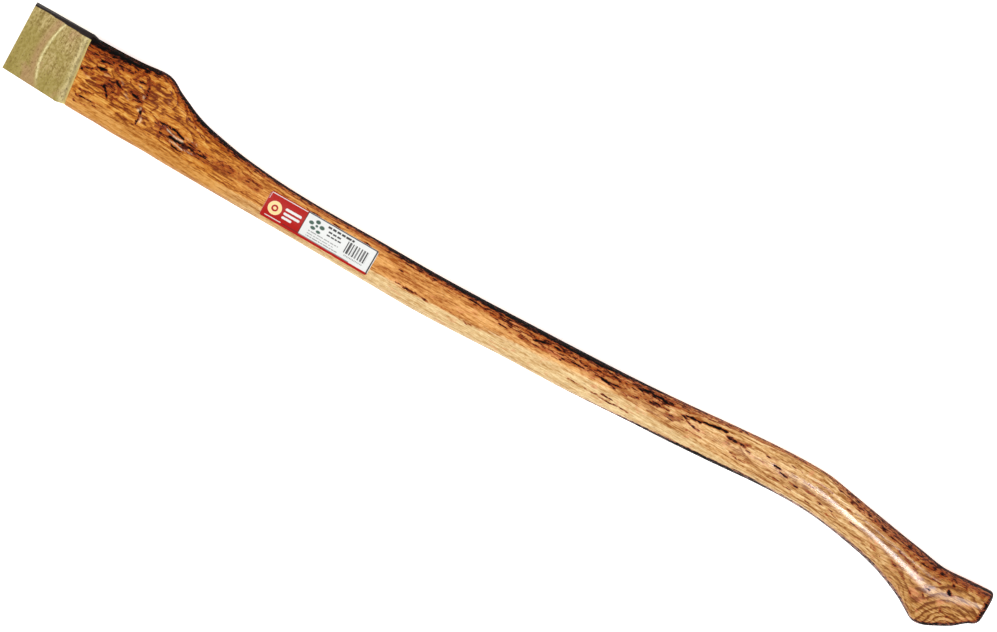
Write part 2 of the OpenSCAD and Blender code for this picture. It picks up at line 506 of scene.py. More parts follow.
marks = [{"half": half, "dark": dark, "depth": depth, "line": line}
         for half, dark, depth, *line in markRows]
glintsAndFlecks = [{"half": half, "paleAndLit": paleAndLit, "line": line} for half, paleAndLit, *line in glintAndFleckRows]

# How far the black reaches round from the back edge, then the brown beyond it: the flame's char, with
# painted shade on the back edge laid in with it.
blackReach = [
    (0, 10.5), (20, 9.4), (50, 8.0), (60, 5.8), (68, 3.6), (80, 3.4), (95, 4.8), (140, 5.0), (160, 4.4),
    (180, 3.2), (240, 2.6), (300, 3.0), (318, 4.8), (360, 5.6), (400, 5.6), (440, 6.2),
    (480, 7.2), (520, 7.0), (540, 5.0), (568, 2.8), (592, 1.0), (640, -1.0), (740, -1.0),
    (760, 0.0), (800, 0.8), (840, 2.2), (862, 3.2), (885, 2.4), (914, 3.8),
]
brownReach = [
    (0, 14.5), (30, 12.5), (60, 8.0), (80, 6.5), (100, 7.0), (140, 6.5), (180, 6.0), (300, 6.0),
    (360, 6.5), (400, 9.0), (440, 11.0), (480, 12.0), (520, 14.0), (560, 16.0), (600, 13.0),
    (650, 9.0), (700, 7.5), (740, 8.0), (760, 13.0), (800, 17.0), (850, 15.0), (880, 12.0), (914, 13.0),
]
# The same for the belly edge, where the flame hardly reached.
bellyReach = [
    (0, 3.0), (200, 2.0), (470, 4.5), (530, 8.0), (575, 10.4), (600, 11.8), (670, 12.2),
    (695, 10.4), (750, 10.6), (800, 13.0), (845, 14.0), (860, 12.5), (870, 15.5), (890, 17.0), (914, 16.5),
]
# How hot that belly burn was: 1 is black, 0.6 is brown.
bellyChar = [
    (0, 0.6), (500, 0.55), (560, 0.66), (600, 0.95), (680, 0.95), (710, 0.66), (840, 0.66), (880, 0.8),
    (914, 0.8),
]
# Below this share of the height the wood is pale sapwood.
sapLine = [
    (0, -0.5), (60, -0.48), (100, -0.4), (140, -0.36), (180, -0.34), (250, -0.3), (320, -0.14),
    (400, -0.05), (450, 0.1), (540, 0.15), (600, -0.1), (680, -0.6), (780, -0.9), (914, -1.4),
]
# 0 is the orange tongue, 1 the tan shaft, 2 the golden grip, 3 the brown knob.
toneLine = [
    (0, 0.0), (130, 0.05), (200, 0.6), (280, 1.0), (480, 1.2), (620, 1.8), (760, 2.0), (850, 3.0),
]
# How strongly the growth layers wander, in layers.
figureLine = [
    (0, 0.95), (60, 0.9), (100, 0.55), (160, 0.4), (420, 0.3), (520, 0.5), (640, 0.4), (760, 0.25),
]
# How strongly the growth layers show.
bandLine = [
    (0, 0.44), (60, 0.42), (90, 0.38), (160, 0.32), (400, 0.24), (700, 0.3), (820, 0.25), (914, 0.2),
]
# How much of the lacquer's gloss is left: the head end has gone dull.
glossLine = [(0, 0.25), (480, 0.3), (640, 0.8), (690, 1.0), (835, 0.9), (872, 0.4), (914, 0.35)]


ringCentre = (891.0, -41.0)   # the growth rings in the knob close round this point


def offLine(x, y, line):
    # distance from a point to a bent line
    best = 1e9
    for (x0, y0), (x1, y1) in zip(line, line[1:]):
        dx, dy = x1 - x0, y1 - y0
        t = clamp(((x - x0) * dx + (y - y0) * dy) / (dx * dx + dy * dy))
        best = min(best, math.hypot(x - x0 - t * dx, y - y0 - t * dy))
    return best


def scatterMarks(seed, count, startX, endX, nearBack, farBack, dark, half):
    # short ragged strokes at a chosen distance below the back edge
    pick = random.Random(seed)
    made = []
    for k in range(count):
        x = lerp(startX, endX, pick.random())
        below = lerp(nearBack, farBack, pick.random() ** 1.2)
        run = lerp(4, 13, pick.random())
        y = backY(x) - below
        lean = (backY(x + run) - backY(x)) + lerp(-1.2, 1.2, pick.random())
        made.append({"line": [(x, y), (x + run * 0.5, y + lean * 0.3), (x + run, y + lean)], "depth": 0.0,
                     "half": lerp(*half, pick.random()), "dark": lerp(*dark, pick.random())})
    return made


def farMarks():
    # the hidden side has marks of its own, laid out by rule and not by hand
    pick = random.Random(11)
    made = []
    for k in range(26):
        x = lerp(4, 62, pick.random()) if k < 12 else lerp(340, 660, pick.random())
        low, high = (-26, 26) if k < 12 else (bellyY(x) + 14, backY(x) - 6)
        y = lerp(low, high, pick.random())
        run = lerp(5, 16, pick.random())
        rise = lerp(-4, 4, pick.random()) if k < 12 else lerp(-1, 1, pick.random())
        line = [(x, y), (x + run / 2, y + rise), (x + run, y + rise * 0.4)]
        made.append({"line": line, "half": lerp(0.8, 1.8, pick.random()), "depth": 0.0,
                     "dark": lerp(0.4, 0.95, pick.random())})
    return made


def reachOfMarks(side, x, y, kind):
    total = 0.0
    wide = noise.noise(Vector((x / 7, y / 3, 5.0)))
    x += 2.0 * wide + 1.2 * noise.noise(Vector((x / 2.6, y / 1.6, 9.0)))
    y += 1.1 * noise.noise(Vector((x / 6, y / 3, 1.0))) + 0.7 * noise.noise(Vector((x / 2.2, y / 1.4, 3.0)))
    for mark, lowX, highX in side:
        if lowX <= x <= highX:
            d = offLine(x, y, mark["line"]) / (mark["half"] * 0.72)
            if d < 2.2:
                total = max(total, mark[kind] * math.exp(-0.5 * (d * 1.15) ** 2))
    return total * (1.0 + 0.5 * wide)


def withSpan(group):
    return [(m, min(p[0] for p in m["line"]) - 5, max(p[0] for p in m["line"]) + 5) for m in group]


def shapeHandle():
    # points, faces, and for each point its place on the wood:
    # x, y, z, how far round from the back and from the belly edge, and 1 where it is sawn
    xs = stationList()
    kerfHalf = handleShape["kerfWidth"] / 2
    skew = math.tan(math.radians(handleShape["endAngle"]))
    perRing = 2 * sidePoints + 2
    kerfStation = xs.index(handleShape["kerfDepth"])
    insets = {0: 0.6, 1: 0.18}    # how far the first two rings are drawn in, for the eased end
    sawn = (20.0, 20.0, 1.0)      # a sawn face is far from both burnt edges
    vertices, faces, facts = [], [], []

    def shifted(x, y, z):
        share = 1 - smoothStep(0, 40, x)
        return (x - skew * share * y, y, z)

    for i, x in enumerate(xs):
        inset = insets.get(i, 0.0)
        half = evenly(sectionCurve(max(x, 0.0)), kerfHalf, sidePoints)
        if inset:
            drawn = []
            for k, p in enumerate(half):
                before, after = half[max(0, k - 1)], half[min(sidePoints - 1, k + 1)]
                ty, tz = after[0] - before[0], after[1] - before[1]
                size = math.hypot(ty, tz)
                drawn.append((p[0] - inset * tz / size, p[1] + inset * ty / size))
            drawn[0] = (half[0][0] - inset, kerfHalf + inset)
            drawn[-1] = (half[-1][0] + inset, kerfHalf + inset)
            half = drawn
        arc = sum(math.dist(a, b) for a, b in zip(half, half[1:]))
        back, belly = half[0][0], half[-1][0]
        top = (backY(x), 0.0) if not inset else (back, 0.0)
        bottom = (bellyY(x), 0.0) if not inset else (belly, 0.0)
        ring = [top] + half + [bottom] + [(y, -z) for y, z in reversed(half)]
        steps = [0.0] + [kerfHalf + arc * k / (sidePoints - 1) for k in range(sidePoints)]
        steps += [2 * kerfHalf + arc] + steps[:0:-1]
        for (y, z), fromBack in zip(ring, steps):
            vertices.append(shifted(x, y, z))
            facts.append((x, y, z, fromBack, 2 * kerfHalf + arc - fromBack, 0.0))

    last = len(xs) - 1
    for i in range(last):
        for k in range(perRing):
            if i < kerfStation and k in (0, perRing - 1, sidePoints, sidePoints + 1):
                continue
            a, b = i * perRing + k, i * perRing + (k + 1) % perRing
            faces.append((a, b, b + perRing, a + perRing))

    # the two walls of the kerf and its blind end
    walls = {}
    for sign, backLip, bellyLip in ((1, 1, sidePoints), (-1, perRing - 1, sidePoints + 2)):
        for i in range(kerfStation + 1):
            a, b = i * perRing + backLip, i * perRing + bellyLip
            row = [a]
            for j in range(1, wallPoints + 1):
                t = j / (wallPoints + 1)
                y = lerp(vertices[a][1], vertices[b][1], t)
                z = vertices[a][2]
                vertices.append((lerp(vertices[a][0], vertices[b][0], t), y, z))
                facts.append((xs[i], y, z, *sawn))
                row.append(len(vertices) - 1)
            walls[sign, i] = row + [b]
    for i in range(kerfStation):
        for j in range(wallPoints + 1):
            for sign in (1, -1):
                here, there = walls[sign, i], walls[sign, i + 1]
                quad = (here[j], there[j], there[j + 1], here[j + 1])
                faces.append(quad if sign == 1 else quad[::-1])
    up, low = walls[1, kerfStation], walls[-1, kerfStation]
    for j in range(wallPoints + 1):
        faces.append((up[j], low[j], low[j + 1], up[j + 1]))
    base = kerfStation * perRing
    faces.append((up[0], base, low[0]))
    faces.append((low[-1], base + sidePoints + 1, up[-1]))

    # the tongue's end, one face each side of the kerf
    upper = list(range(1, sidePoints + 1)) + walls[1, 0][-2:0:-1]
    lower = list(range(sidePoints + 2, perRing)) + walls[-1, 0][1:-1]
    for rim in (upper, lower):
        centre = [sum(vertices[v][c] for v in rim) / len(rim) for c in range(3)]
        inner = []
        for v in rim:
            p = [lerp(centre[c], vertices[v][c], 0.96) for c in range(3)]
            vertices.append(tuple(p))
            facts.append((0.0, p[1], p[2], *sawn))
            inner.append(len(vertices) - 1)
        for k in range(len(rim)):
            after = (k + 1) % len(rim)
            faces.append((rim[k], inner[k], inner[after], rim[after]))
        faces.append(tuple(inner[::-1]))

    # the knob's end, filled in with smaller and smaller rings
    outer = [last * perRing + k for k in range(perRing)]
    edge = outer
    ys = [vertices[v][1] for v in edge]
    centre = (handleShape["length"], (max(ys) + min(ys)) / 2, 0.0)
    for scale in (0.86, 0.68, 0.48, 0.26):
        inner = []
        for v in outer:
            p = [lerp(centre[c], vertices[v][c], scale) for c in range(3)]
            vertices.append(tuple(p))
            facts.append((p[0], p[1], p[2], facts[v][3] + 4, facts[v][4] + 4, 0.0))
            inner.append(len(vertices) - 1)
        for k in range(perRing):
            faces.append((edge[k], edge[(k + 1) % perRing], inner[(k + 1) % perRing], inner[k]))
        edge = inner
    vertices.append(centre)
    facts.append((*centre, 20.0, 20.0, 0.0))
    for k in range(perRing):
        faces.append((edge[k], edge[(k + 1) % perRing], len(vertices) - 1))

    # the ring points over the kerf are used by no face
    used = sorted({v for f in faces for v in f})
    place = {old: new for new, old in enumerate(used)}
    faces = [tuple(place[v] for v in f) for f in faces]
    return [vertices[v] for v in used], faces, [facts[v] for v in used]


def carveAndPaint(piece, facts):
    # cuts the marks into the wood and paints what the material needs to know
    scattered = scatterMarks(5, 44, 425, 600, 4, 12, (0.34, 0.6), (0.6, 1.0))
    scattered += scatterMarks(6, 14, 90, 330, 4, 10, (0.35, 0.6), (0.6, 0.9))
    scattered += scatterMarks(8, 24, 640, 860, 6, 30, (0.35, 0.6), (0.6, 1.0))
    scattered += scatterMarks(9, 8, 2, 62, 8, 30, (0.35, 0.6), (0.7, 1.2))
    nearMarks, hiddenMarks = withSpan(marks + scattered), withSpan(farMarks() + scattered[::2])
    nearGlintsAndFlecks = withSpan(glintsAndFlecks)
    mesh = piece.data
    normals = [v.normal.copy() for v in mesh.vertices]
    layers = {name: [] for name in ("band", "glintAndFleck", "gloss", "burnAndShade", "sap", "tone", "figure", "raw")}
    for v, normal, (x, y, z, fromBack, fromBelly, sawn) in zip(mesh.vertices, normals, facts):
        near = z > 0
        side = nearMarks if near else hiddenMarks
        facing = smoothStep(0.1, 0.45, abs(normal.z))
        dark = reachOfMarks(side, x, y, "dark") * facing
        depth = reachOfMarks(side, x, y, "depth") * facing if near and not sawn else 0.0
        wave = noise.noise(Vector((x / 38, y / 16, z / 16))) * 0.1
        if not sawn and x > 1:
            v.co -= normal * (depth + wave * smoothStep(1, 12, x) + 0.06) * mm
        black = along(blackReach, x)
        brown = along(brownReach, x)
        shift = 0.0 if near else 2.5 * noise.noise(Vector((x / 60, 3.7, 0)))
        fromBack += shift
        # the back edge is darkened both as the flame's char and as painted shade
        heatAndShade = 1.0 - 0.5 * smoothStep(black - 1.6, black + 1.2, fromBack)
        heatAndShade -= 0.5 * clamp((fromBack - black) / brown) ** 1.7
        belly = along(bellyReach, x)
        char = along(bellyChar, x)
        heatAndShade = max(heatAndShade, char - char * smoothStep(belly - 1.6, belly + 1.8, fromBelly))
        heatAndShade = max(heatAndShade, 0.8 * smoothStep(908, 912.5, x))
        middle, height = (backY(x) + bellyY(x)) / 2, (backY(x) - bellyY(x)) / 2
        share = (y - middle) / max(1.0, height)
        sap = clamp(0.5 + (along(sapLine, x) - share) * 2.2)
        ringed = smoothStep(50, 34, math.hypot(x - ringCentre[0], y - ringCentre[1])) if x > 820 else 0.0
        layers["burnAndShade"].append(0.0 if sawn else max(heatAndShade, dark))
        layers["glintAndFleck"].append(reachOfMarks(nearGlintsAndFlecks, x, y, "paleAndLit") * facing if near and not sawn else 0.0)
        layers["sap"].append(sap)
        layers["tone"].append(along(toneLine, x) / 3)
        layers["figure"].append(along(figureLine, x))
        layers["raw"].append(sawn)
        layers["gloss"].append(along(glossLine, x) * smoothStep(3, 20, fromBack))
        layers["band"].append(lerp(along(bandLine, x) * (1.0 - 0.65 * sap), 0.55, ringed))
    for name, values in layers.items():
        paint(piece, name, values)


def buildHandle(material):
    vertices, faces, facts = shapeHandle()
    piece = addPiece("handle-wood", vertices, faces, material, "handle", "handle")
    carveAndPaint(piece, facts)
    smoothBy(piece, 38)
    print("handle: %d points, %d faces" % (len(vertices), len(faces)))


hickoryLook = {
    "layerPitch": 2.3,
    "coat": 0.9,
    "coatRoughness": 0.18,
    "coatIor": 1.5,
    "roughness": 0.5,
    "specular": 0.06,
    # dark, middle and light streaks of each kind of wood
    "tongue": (shade(108, 40, 5), shade(192, 115, 34), shade(224, 168, 82)),
    "shaft": (shade(156, 82, 26), shade(204, 138, 70), shade(232, 172, 100)),
    "grip": (shade(140, 84, 32), shade(204, 157, 98), shade(234, 201, 148)),
    "knob": (shade(112, 58, 16), shade(174, 120, 60), shade(206, 162, 104)),
    "tan": (shade(160, 92, 26), shade(198, 135, 62), shade(220, 162, 88)),
    "cream": (shade(182, 136, 78), shade(214, 179, 126), shade(236, 208, 156)),
    # the flame's rust, brown and black, which also colour the painted shade on the back edge
    "scorched": shade(156, 62, 12),
    "brown": shade(74, 22, 7),
    "char": shade(5, 3, 2),
    "pore": shade(92, 40, 12),
    "pink": shade(214, 128, 92),
    # painted glint colour for the torn grain, also used for the pale flecks
    "glintAndFleck": shade(246, 216, 180),
    "sawn": (shade(150, 108, 66), shade(196, 152, 100)),
}


def hickoryMaterial():
    look = hickoryLook
    material = newMaterial("flamed-hickory")
    burnAndShade, sap = painted("burnAndShade"), painted("sap")
    tone, figure = painted("tone"), painted("figure")
    raw, band = painted("raw"), painted("band")

    split = newNode("ShaderNodeSeparateXYZ")
    plug(split.inputs[0], newNode("ShaderNodeTexCoord").outputs["Object"])
    x, y, z = (times(split.outputs[n], 1 / mm) for n in range(3))

    # growth layers lie nearly flat in the shaft and dip into rings in the knob
    wander = speckle((24, 11, 11), 2.5, 0.5, 0.5)
    wander = times(centred(wander, 5.0), figure)
    drift = speckle((260, 40, 40), 1.0, shift=(3, 1, 2))
    flat = calc("MULTIPLY_ADD", y, 0.16, z)
    flat = calc("MULTIPLY_ADD", drift, 9.0, flat)
    dx = less(x, ringCentre[0])
    dy = times(less(y, ringCentre[1]), 1.1)
    away = calc("SQRT", add(times(dx, dx), times(dy, dy)))
    domed = calc("MULTIPLY_ADD", away, 0.42, times(z, 0.35))
    inKnob = spread(x, 832.0, 866.0)
    height = add(times(flat, less(1.0, inKnob)), times(domed, inKnob))
    layer = add(calc("DIVIDE", height, look["layerPitch"]), wander)
    within = calc("FRACT", layer)
    lateWood = times(spread(within, 0.35, 0.88), spread(within, 1.0, 0.9))

    # fibres, streaks and open pores run along the handle
    fibre = speckle((20, 1.1, 1.1), 3.0, 0.6)
    fleck = speckle((4.6, 1.5, 1.5), 2.0, 0.55, 0.4, shift=(2, 5, 1))
    broad = speckle((48, 4.5, 4.5), 3.0, 0.55, 0.5, shift=(7, 0, 0))
    cloud = speckle((16, 8, 8), 3.0, 0.6, 1.4, shift=(0, 4, 0))
    pore = spread(speckle((5.5, 0.5, 0.5), 1.0, 0.4), 0.62, 0.72)

    value = add(0.56, centred(fibre, 1.5))
    value = add(value, centred(fleck, 1.1))
    value = add(value, centred(broad, 1.0))
    value = add(value, times(centred(cloud, 1.6), band))
    value = less(value, times(lateWood, band))

    def streaks(name):
        dark, middle, light = look[name]
        return ramp(value, [(0.12, dark), (0.5, middle), (0.88, light)])

    body = mixColour(spread(tone, 0.0, 0.33, soft=False), streaks("tongue"), streaks("shaft"))
    body = mixColour(spread(tone, 0.33, 0.67, soft=False), body, streaks("grip"))
    body = mixColour(spread(tone, 0.67, 1.0, soft=False), body, streaks("knob"))
    paleWood = mixColour(spread(tone, 0.05, 0.33, soft=False), streaks("tan"), streaks("cream"))
    sapEdge = add(add(sap, centred(broad, 1.0)), centred(fleck, 0.4))
    wood = mixColour(spread(sapEdge, 0.3, 0.8), body, paleWood)
    rosy = times(spread(cloud, 0.56, 0.7), spread(tone, 0.12, 0.4, 0.0, 0.4))
    wood = mixColour(rosy, wood, look["pink"])
    wood = mixColour(times(pore, 0.4), wood, look["pore"])

    # the flame's char and the painted shade on the back edge: rust, then brown, then black, ragged along the
    # grain
    ragged = add(centred(fibre, 1.5), centred(fleck, 1.9))
    ragged = add(ragged, times(lateWood, 0.14))
    alive = times(spread(burnAndShade, 0.0, 0.2), spread(burnAndShade, 1.3, 0.9, 0.35, 1.0))
    heatAndShade = add(burnAndShade, times(ragged, alive))
    heatAndShade = times(heatAndShade, less(1.0, raw))
    wood = mixColour(spread(heatAndShade, 0.08, 0.45, 0.0, 0.85), wood, look["scorched"])
    wood = mixColour(spread(heatAndShade, 0.36, 0.66), wood, look["brown"])
    wood = mixColour(spread(heatAndShade, 0.62, 0.9), wood, look["char"])

    # painted glints of the lacquer on the torn grain, and pale flecks beside the marks
    wood = mixColour(painted("glintAndFleck"), wood, look["glintAndFleck"])

    # bare sawn wood in the kerf
    darkSawn, lightSawn = look["sawn"]
    sawnTone = ramp(speckle((1.2, 30, 30), 3.0), [(0.3, darkSawn), (0.7, lightSawn)])
    wood = mixColour(raw, wood, sawnTone)

    rough = calc("MULTIPLY_ADD", fibre, 0.16, look["roughness"] - 0.08)
    charred = spread(heatAndShade, 0.5, 0.9)
    rough = add(rough, times(calc("MAXIMUM", raw, charred), 0.28))
    bare = calc("MAXIMUM", times(charred, 0.98), raw)
    glaze = times(less(1.0, bare), look["coat"])
    glaze = times(glaze, painted("gloss"))
    relief = less(times(fibre, 0.5), times(pore, 0.8))
    lacquer = add(times(fibre, 0.5), broad)
    finishWith({
        "Base Color": wood,
        "Roughness": rough,
        "Specular IOR Level": look["specular"],
        "Coat Weight": glaze,
        "Coat Roughness": look["coatRoughness"],
        "Coat IOR": look["coatIor"],
        "Normal": bumpUp(relief, 0.12 * mm, 0.6),
        "Coat Normal": bumpUp(lacquer, 0.14 * mm, 0.5),
    })
    return material


buildHandle(hickoryMaterial())

poplarLook = {
    "wood": (shade(126, 103, 50), shade(166, 143, 86), shade(195, 174, 119)),
    "olive": shade(150, 134, 62),
    # the pale streak's colour, also used for the painted light near the mouth
    "paleAndLit": shade(236, 224, 166),
    # painted highlight along the mouth of the kerf
    "mouthHighlight": shade(255, 238, 150),
    "pink": shade(176, 134, 100),
    "speck": shade(104, 76, 34),
    # near-black painted shade for the wedge's high edge
    "edgeShade": shade(28, 16, 12),
    "roughness": 0.72,
    "specular": 0.3,
}


def poplarMaterial():
    look = poplarLook
    material = newMaterial("sawn-poplar")
    # the saw and the grain both run across the handle
    streak = speckle((2.6, 38, 6), 4.0, 0.6, 0.4)
    fine = speckle((1.0, 5, 3), 3.0, 0.6, shift=(4, 0, 0))
    dirt = speckle((2.2, 3.0, 2.5), 3.0, 0.65, shift=(8, 3, 1))
    cloud = speckle((18, 22, 10), 3.0, shift=(1, 6, 0))
    dots = speckle((1.1, 1.9, 1.0), 1.0, 0.4, shift=(0, 2, 0))
    value = add(0.5, centred(streak, 1.6))
    value = add(value, centred(fine, 1.3))
    value = add(value, centred(dirt, 2.5))
    dark, middle, light = look["wood"]
    wood = ramp(value, [(0.1, dark), (0.5, middle), (0.9, light)])
    olive = spread(add(painted("shade"), centred(cloud, 2.0)), 0.2, 1.0, 0.0, 0.7)
    wood = mixColour(olive, wood, look["olive"])
    rosy = calc("MAXIMUM", times(painted("pink"), 0.6), spread(cloud, 0.47, 0.34, 0.0, 0.5))
    wood = mixColour(rosy, wood, look["pink"])
    # the pale streak, and painted light over the shade near the mouth
    paleAndLitLine = times(painted("paleAndLit"), spread(dirt, 0.3, 0.6, 0.45, 1.0))
    wood = mixColour(paleAndLitLine, wood, look["paleAndLit"])
    wood = mixColour(spread(dots, 0.62, 0.72, 0.0, 0.65), wood, look["speck"])
    # painted highlight along the mouth of the kerf
    wood = mixColour(times(painted("mouthHighlight"), 0.95), wood, look["mouthHighlight"])
    # painted shade along the high edge and on the high narrow face
    edge = add(painted("edgeShade"), centred(fine, 0.6))
    wood = mixColour(spread(edge, 0.35, 0.6), wood, look["edgeShade"])
    finishWith({
        "Base Color": wood,
        "Roughness": calc("MULTIPLY_ADD", fine, 0.2, look["roughness"] - 0.1),
        "Specular IOR Level": look["specular"],
        "Normal": bumpUp(add(streak, times(fine, 0.6)), 0.4 * mm, 0.7),
    })
    return material


# The wedge before it is driven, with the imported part's outline and its sawn edges eased by hand.
wedgeShape = {
    "butt": (-58.8, -61.2),       # x of the belly corner and the back corner, as it isn't cut square
    "outline": ((-61.2, 32.5), (-4.0, 34.8), (16.0, 29.8)),    # x, and half the width there
    "thick": 9.4,
    "thin": 1.2,
    "turn": -1.0,                 # degrees it sits askew in the kerf
    "shy": 0.05,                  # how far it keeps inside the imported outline
}


def wedgeHalf(x):
    corners = wedgeShape["outline"]
    for (x0, half0), (x1, half1) in zip(corners, corners[1:]):
        if x <= x1:
            return lerp(half0, half1, clamp((x - x0) / (x1 - x0)))
    return corners[-1][1]


# at a point of the broad face: the painted shade along the high edge, the pale streak and the painted light
# near the mouth, the pink, the olive shade, and the painted highlight along the mouth
def wedgeLooks(x, y):
    # scorch, pale, pink, shade and arris at a point of the broad face
    bow = -34.6 + 5.0 * (y / 32.0) ** 2 * (1.0 if y > 0 else 1.9)    # the curved streak
    streak = math.exp(-((x - bow) / 0.9) ** 2) * smoothStep(-34, -20, y)
    strip = lerp(1.7, 4.8, smoothStep(-56, -6, x))                   # the painted shade along the high edge, wider at the mouth
    lean = math.tan(math.radians(handleShape["endAngle"])) - math.tan(math.radians(wedgeShape["turn"]))
    mouth = x + lean * y                                             # how far inside the kerf
    return (
        0.75 * smoothStep(strip + 0.6, strip - 0.6, wedgeHalf(x) - y),
        # the pale streak, and painted light lifting the shade near the mouth
        max(streak, 0.62 * smoothStep(-10.5, -4.5, mouth)),
        math.exp(-((x - bow + 4.5) / 3.6) ** 2) * 0.9,
        clamp(0.45 - y / 70 + 0.4 * smoothStep(-20, -58, x)),
        # painted highlight along the mouth of the kerf
        math.exp(-((mouth + 1.0) / 1.25) ** 2),
    )


def easedEdge(t):
    # how far an edge is rounded off, at a share of the way from one edge to the other
    easing = [(0.0, 0.55), (0.004, 0.2), (0.009, 0.0)]
    t = min(t, 1 - t)
    for (t0, d0), (t1, d1) in zip(easing, easing[1:]):
        if t <= t1:
            return lerp(d0, d1, (t - t0) / (t1 - t0))
    return 0.0


def buildWedge(material):
    longSteps, wideSteps = 72, 64
    shy = wedgeShape["shy"]
    buttX, tipX = wedgeShape["outline"][0][0], wedgeShape["outline"][-1][0]
    turn = math.radians(wedgeShape["turn"])
    vertices, faces, looks, grid = [], [], [], {}

    def spaced(count):
        inner = [k / count for k in range(1, count)]
        return [0.0, 0.004, 0.009] + inner + [0.991, 0.996, 1.0]

    longs, wides = spaced(longSteps), spaced(wideSteps)
    for side in (1, -1):
        for i, u in enumerate(longs):
            for j, w in enumerate(wides):
                x = lerp(lerp(*wedgeShape["butt"], w) + shy, tipX - shy, u)
                half = wedgeHalf(x)
                y = lerp(shy - half, half - shy, w)
                rough = noise.noise(Vector((x / 1.3, y / 16, side * 4.0))) * 0.10
                rough += noise.noise(Vector((x / 5.0, y / 40, side * 9.0))) * 0.10
                taper = clamp((x - buttX) / (tipX - buttX))
                deep = lerp(wedgeShape["thick"], wedgeShape["thin"], taper) / 2 - 0.02
                endOff = easedEdge(u) if x < 0 else 0.0
                sideOff = easedEdge(w) * (1.0 if x < -6 else 0.3)
                drop = min(deep * 0.6, max(endOff, sideOff)) + (0.10 + rough * 0.9) * smoothStep(2, -8, x)
                vertices.append((math.cos(turn) * x - math.sin(turn) * y,
                                 math.sin(turn) * x + math.cos(turn) * y, side * max(0.3, deep - drop)))
                grid[side, i, j] = len(vertices) - 1
                looks.append(wedgeLooks(x, y))
    rows, cells = len(longs), len(wides)
    for i in range(rows - 1):
        for j in range(cells - 1):
            for side in (1, -1):
                quad = [grid[side, i + p, j + q] for p, q in ((0, 0), (1, 0), (1, 1), (0, 1))]
                faces.append(tuple(quad[::side]))
    rim = [(0, j) for j in range(cells - 1)] + [(i, cells - 1) for i in range(rows - 1)]
    rim += [(rows - 1, j) for j in range(cells - 1, 0, -1)] + [(i, 0) for i in range(rows - 1, 0, -1)]
    # the narrow faces get rows of their own
    acrossSteps = 5
    bands = []
    for i, j in rim:
        top, low = grid[1, i, j], grid[-1, i, j]
        band = [top]
        for k in range(1, acrossSteps):
            t = k / acrossSteps
            p = [lerp(vertices[top][c], vertices[low][c], t) for c in range(3)]
            vertices.append(tuple(p))
            # the narrow face on the high side takes the painted shade in full
            looks.append((1.0 if j == cells - 1 else 0.0, 0.0, 0.0, 0.2, 0.0))
            band.append(len(vertices) - 1)
        bands.append(band + [low])
    for n, band in enumerate(bands):
        after = bands[(n + 1) % len(bands)]
        for k in range(acrossSteps):
            faces.append((band[k], after[k], after[k + 1], band[k + 1]))
    piece = addPiece("wedge-poplar", vertices, faces, material, "wedge", "wedge")
    for n, name in enumerate(("edgeShade", "paleAndLit", "pink", "shade", "mouthHighlight")):
        paint(piece, name, [look[n] for look in looks])
    smoothBy(piece, 40)
    print("wedge: %d points, %d faces" % (len(vertices), len(faces)))


buildWedge(poplarMaterial())


labelShape = {
    "startX": 197.0, "endX": 304.0, "topY": -2.6, "bottomY": -26.8,
    "gap": 0.06, "thick": 0.16, "corner": 2.2,
}
labelLook = {
    "paper": ((0.70, 0.71, 0.69), (0.79, 0.80, 0.79)),
    "fibre": (0.62, 0.60, 0.56),
    "red": (shade(158, 6, 2), shade(180, 16, 6)),
    "yellow": (0.90, 0.66, 0.30),
    "green": shade(66, 92, 80),
    "black": (0.02, 0.018, 0.02),
    "specular": 0.4,
}


def labelMaterial():
    look = labelLook
    material = newMaterial("printed-label")
    paper = speckle((1.2, 1.2, 1.2), 4.0, 0.6)
    cloud = speckle((22, 9, 9), 2.0, shift=(3, 3, 3))
    base = mixColour(cloud, *look["paper"])
    base = mixColour(spread(paper, 0.35, 0.65, 0.0, 0.1), base, look["fibre"])
    base = mixColour(painted("red"), base, mixColour(paper, *look["red"]))
    base = mixColour(painted("yellow"), base, look["yellow"])
    base = mixColour(painted("green"), base, look["green"])
    base = mixColour(times(painted("black"), 0.97), base, look["black"])
    finishWith({
        "Base Color": base,
        "Roughness": spread(paper, 0.3, 0.7, 0.30, 0.42),
        "Specular IOR Level": look["specular"],
        "Normal": bumpUp(paper, 0.04 * mm, 0.5),
    })
    return material


def inRoundBox(u, v, box, radius=0.0):
    # 1 inside a box with rounded corners, easing to 0 over about a tenth of a millimetre
    u0, v0, u1, v1 = box
    dx = max(u0 + radius - u, u - (u1 - radius), 0.0)
    dy = max(v0 + radius - v, v - (v1 - radius), 0.0)
    inside = min(u - u0, u1 - u, v - v0, v1 - v)
    if radius and dx > 0 and dy > 0:
        inside = radius - math.hypot(dx, dy)
    return clamp(0.5 + inside / 0.12)


def sidePoint(x, v):
    # a point on the wood at distance v round from the label's top edge, and the outward direction
    path = sectionPaths.get(x)
    if path is None:
        path = [p for p in sectionCurve(x, 400) if p[0] <= labelShape["topY"]]
        sectionPaths[x] = path
    left = v
    for a, b in zip(path, path[1:]):
        step = math.dist(a, b)
        if left <= step:
            y, z = lerp(a[0], b[0], left / step), lerp(a[1], b[1], left / step)
            return y, z, ((b[1] - a[1]) / step, (a[0] - b[0]) / step)
        left -= step
    return path[-1][0], path[-1][1], (0.0, 1.0)


sectionPaths = {}


# rows of dashes: top, start, end and height
dashRows = ((2.8, 58.0, 84.0, 1.7), (6.6, 60.0, 73.0, 1.4), (9.8, 60.0, 75.0, 1.3),
            (14.4, 44.0, 74.0, 0.9), (17.0, 44.0, 70.0, 0.8), (19.4, 44.0, 75.0, 0.8))
